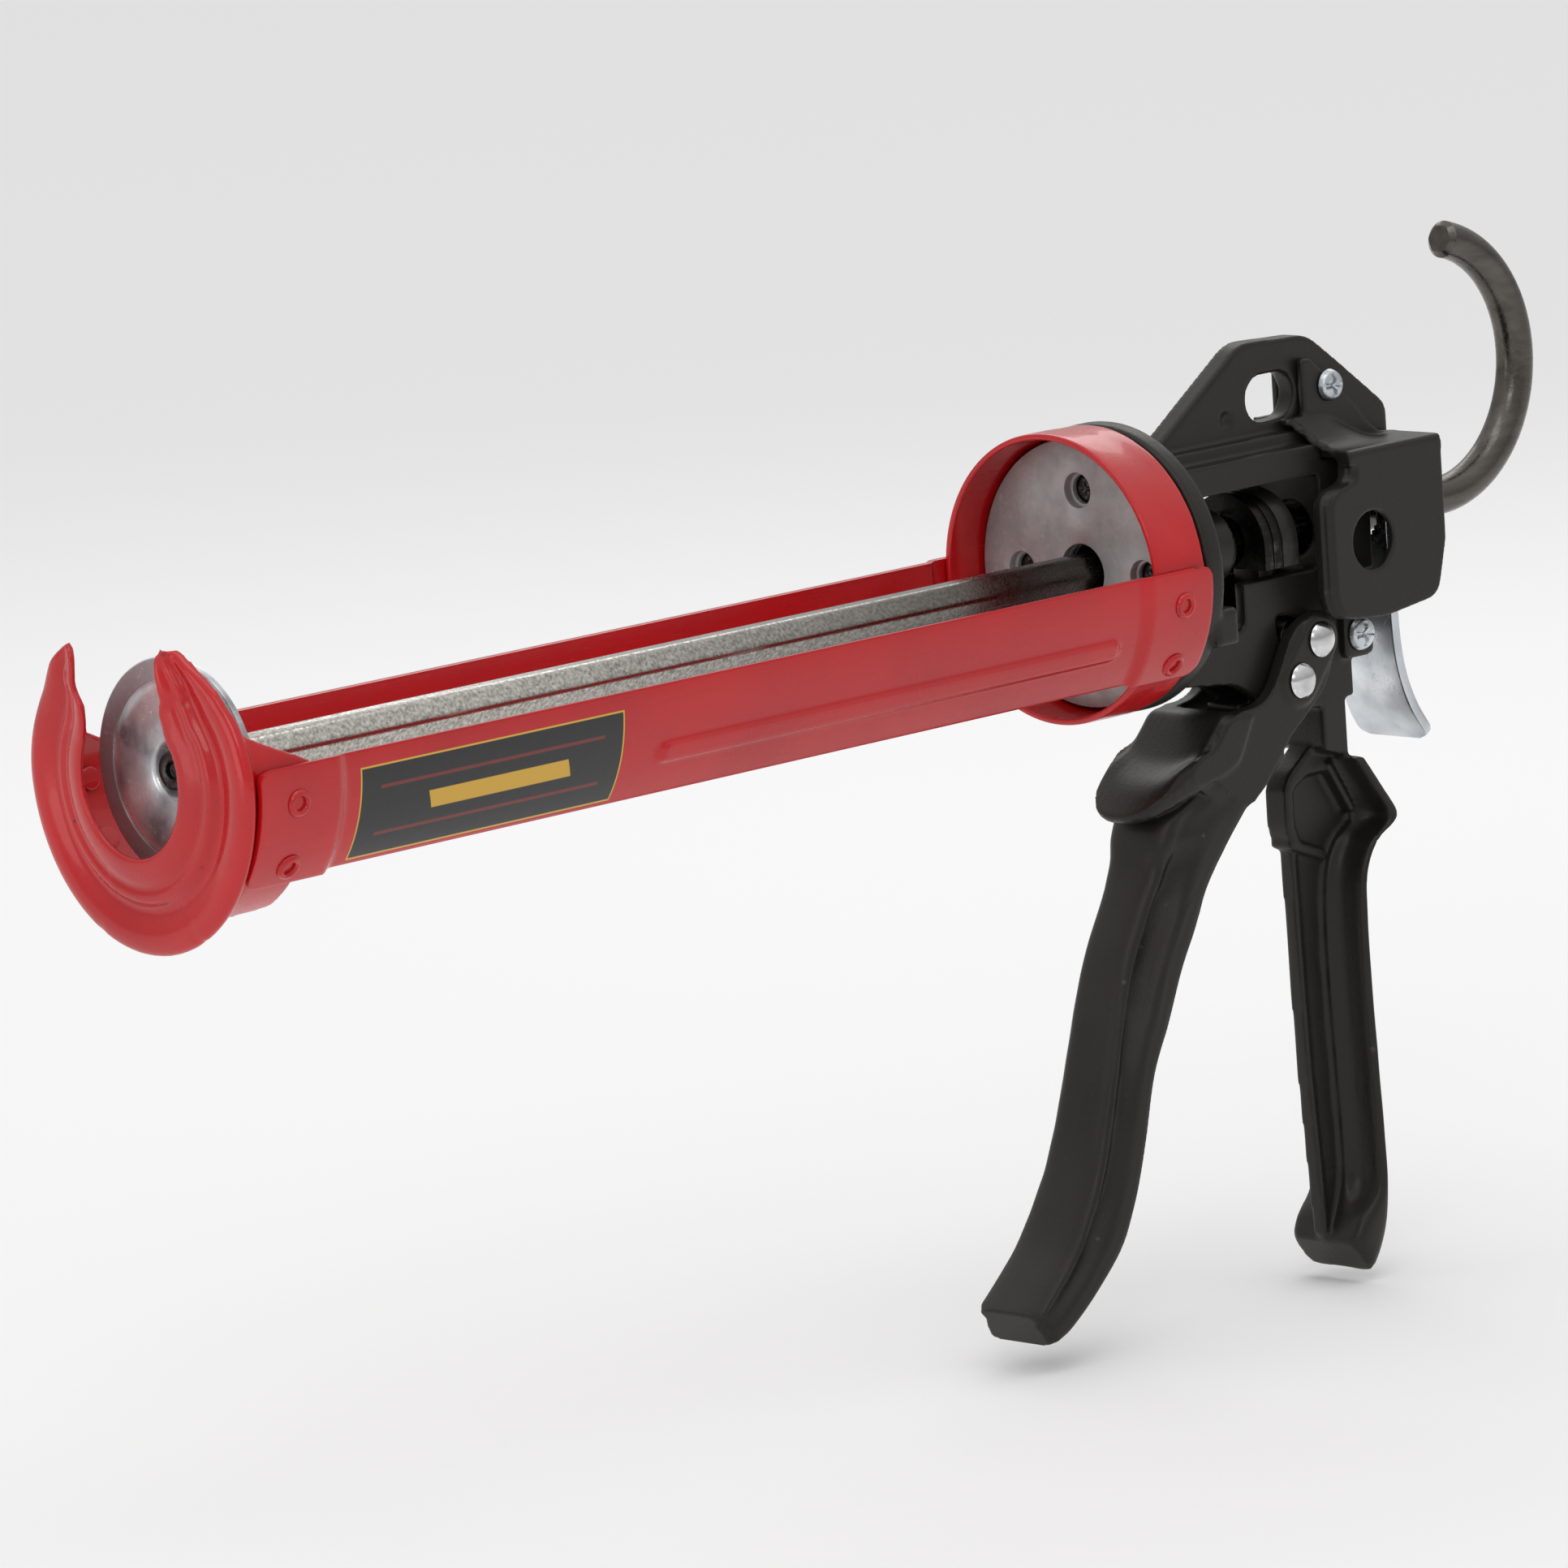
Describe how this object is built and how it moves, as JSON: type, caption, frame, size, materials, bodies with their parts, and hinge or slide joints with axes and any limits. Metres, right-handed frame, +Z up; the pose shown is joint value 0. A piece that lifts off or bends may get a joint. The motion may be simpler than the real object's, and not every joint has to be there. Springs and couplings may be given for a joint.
{
  "type": "caulking gun",
  "caption": "Hand-squeezed cartridge gun with a revolving open cradle, hooked plunger rod, friction drive, cast handle, trigger and thumb release.",
  "frame": {"origin": "centre of the plunger's nose screw head, on the rod's axis, with the rod fully forward", "axes": "+X along the rod from the nozzle end towards the pull hook, +Z up with the handles hanging down, +Y to the gun's right side as seen by the user holding it"},
  "size_m": [0.3641, 0.0618, 0.1992],
  "materials": {
    "red_paint": "glossy red enamel on pressed sheet steel",
    "black_coat": "satin black coating on die-cast aluminium and pressed steel",
    "bare_casting": "bare die-cast face with scratches",
    "bright_steel": "drawn steel, bright in front and darkened towards the hook",
    "zinc_plate": "bright zinc plating",
    "spring_steel": "hardened dark steel"
  },
  "bodies": {
    "frame": {"frame_casting": "black_coat", "front_plate": "bare_casting", "plate_screw_1": "zinc_plate", "plate_screw_2": "zinc_plate", "plate_screw_3": "zinc_plate", "plate_screw_4": "zinc_plate", "cover_left": "black_coat", "cover_right": "black_coat", "cover_screw_left": "zinc_plate", "cover_screw_right": "zinc_plate", "lug_screw": "zinc_plate", "lug_nut": "zinc_plate"},
    "cradle": {"front_cap": "red_paint", "collar": "red_paint", "rail_left": "red_paint", "rail_right": "red_paint", "rail_rivet_left_front_upper": "red_paint", "rail_rivet_left_front_lower": "red_paint", "rail_rivet_left_rear_upper": "red_paint", "rail_rivet_left_rear_lower": "red_paint", "rail_rivet_right_front_upper": "red_paint", "rail_rivet_right_front_lower": "red_paint", "rail_rivet_right_rear_upper": "red_paint", "rail_rivet_right_rear_lower": "red_paint"},
    "plunger": {"plunger_disc": "zinc_plate", "plunger_washer": "zinc_plate"},
    "rod": {"plunger_rod": "bright_steel", "plunger_nose_screw": "spring_steel"},
    "trigger": {"trigger": "black_coat", "pivot_rivet": "zinc_plate", "drive_rivet": "zinc_plate", "drive_sleeve": "spring_steel"},
    "driver": {"drive_block": "black_coat", "grip_plate_1": "spring_steel", "grip_plate_2": "spring_steel", "drive_spring": "spring_steel"},
    "release": {"release_lever": "zinc_plate", "release_spring": "spring_steel"}
  },
  "joints": [
    {"name": "cradle_turn", "type": "hinge", "parent": "frame", "child": "cradle", "pos_m": [0.231, 0, 0], "axis": [1, 0, 0], "continuous": true},
    {"name": "plunger_slide", "type": "slide", "parent": "frame", "child": "plunger", "axis": [1, 0, 0], "range_m": [0, 0.215]},
    {"name": "rod_turn", "type": "hinge", "parent": "plunger", "child": "rod", "pos_m": [0.005, 0, 0], "axis": [1, 0, 0], "continuous": true},
    {"name": "trigger_squeeze", "type": "hinge", "parent": "frame", "child": "trigger", "pos_m": [0.273, 0, -0.027], "axis": [0, -1, 0], "range_deg": [0, 30], "stiffness_Nm_per_rad": 0.6, "springref_deg": -34.38},
    {"name": "drive_slide", "type": "slide", "parent": "frame", "child": "driver", "axis": [-1, 0, 0], "range_m": [0, 0.0044], "deforming": ["drive_spring"]},
    {"name": "release_press", "type": "hinge", "parent": "frame", "child": "release", "pos_m": [0.3026, 0, 0.011], "axis": [0, 1, 0], "range_deg": [0, 7], "stiffness_Nm_per_rad": 0.8, "springref_deg": -8.59, "deforming": ["release_spring"]}
  ],
  "couplings": [
    {"joint": "drive_slide", "follows": "trigger_squeeze", "m_per_rad": 0.00822}
  ]
}
